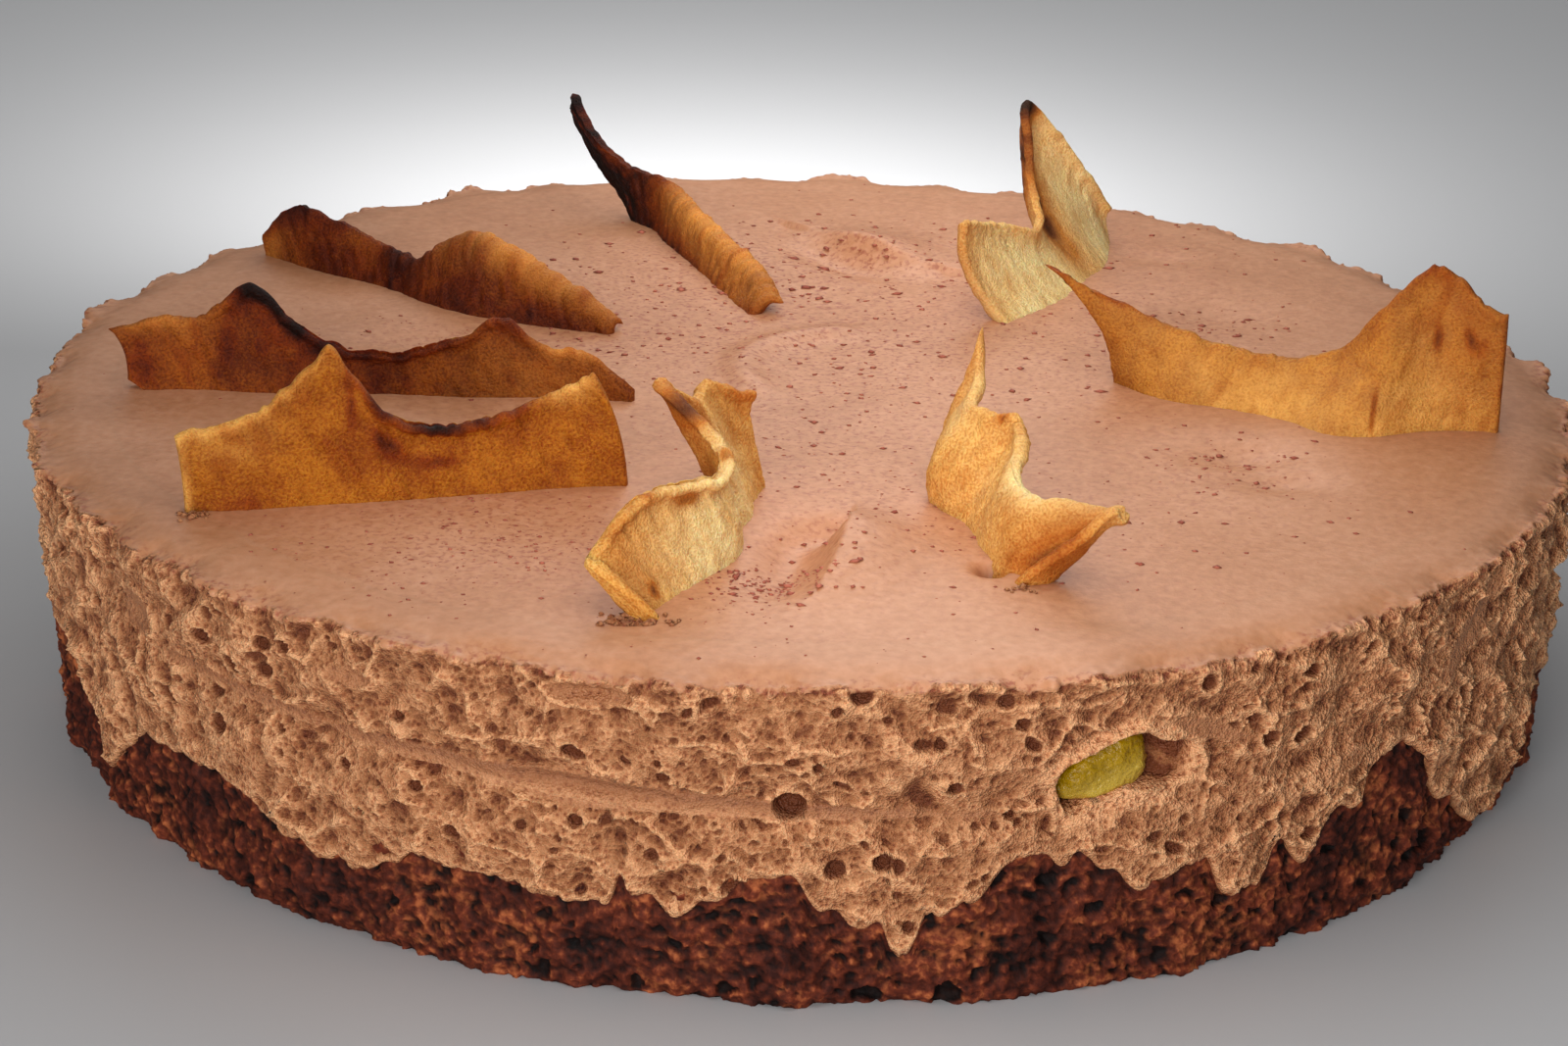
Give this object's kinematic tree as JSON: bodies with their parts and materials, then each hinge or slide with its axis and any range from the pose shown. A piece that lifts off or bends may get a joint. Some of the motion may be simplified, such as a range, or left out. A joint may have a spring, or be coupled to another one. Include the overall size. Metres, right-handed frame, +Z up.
{
  "type": "chocolate mousse cake",
  "caption": "Round chocolate mousse cake on a dark sponge base, with a torn side, a swirled top and dried fruit crisps standing on edge in it.",
  "frame": {"origin": "middle of the flat underside of the sponge", "axes": "+Z up through the middle of the cake, -Y to the front that the picture shows, +X to its right"},
  "size_m": [0.2213, 0.2219, 0.0711],
  "materials": {
    "sponge": "dark, crumbly chocolate sponge, matt",
    "mousse": "set milk chocolate mousse, satin on top, torn and full of pores at the side",
    "fruit": "moist yellow-green fruit flesh, translucent",
    "crisp_golden": "dried fruit slice, golden brown with browned rim",
    "crisp_dark": "dried fruit slice, dark amber with nearly black crest",
    "crisp_pale": "dried fruit slice, pale cream with browned edges"
  },
  "bodies": {
    "root": {"sponge": "sponge", "mousse": "mousse", "fruit_piece": "fruit", "crisp_front_left": "crisp_golden", "crisp_left": "crisp_dark", "crisp_back_left": "crisp_dark", "crisp_back": "crisp_dark", "crisp_back_right": "crisp_pale", "crisp_right": "crisp_golden", "crisp_front": "crisp_pale", "crisp_front_right": "crisp_pale"}
  },
  "joints": []
}
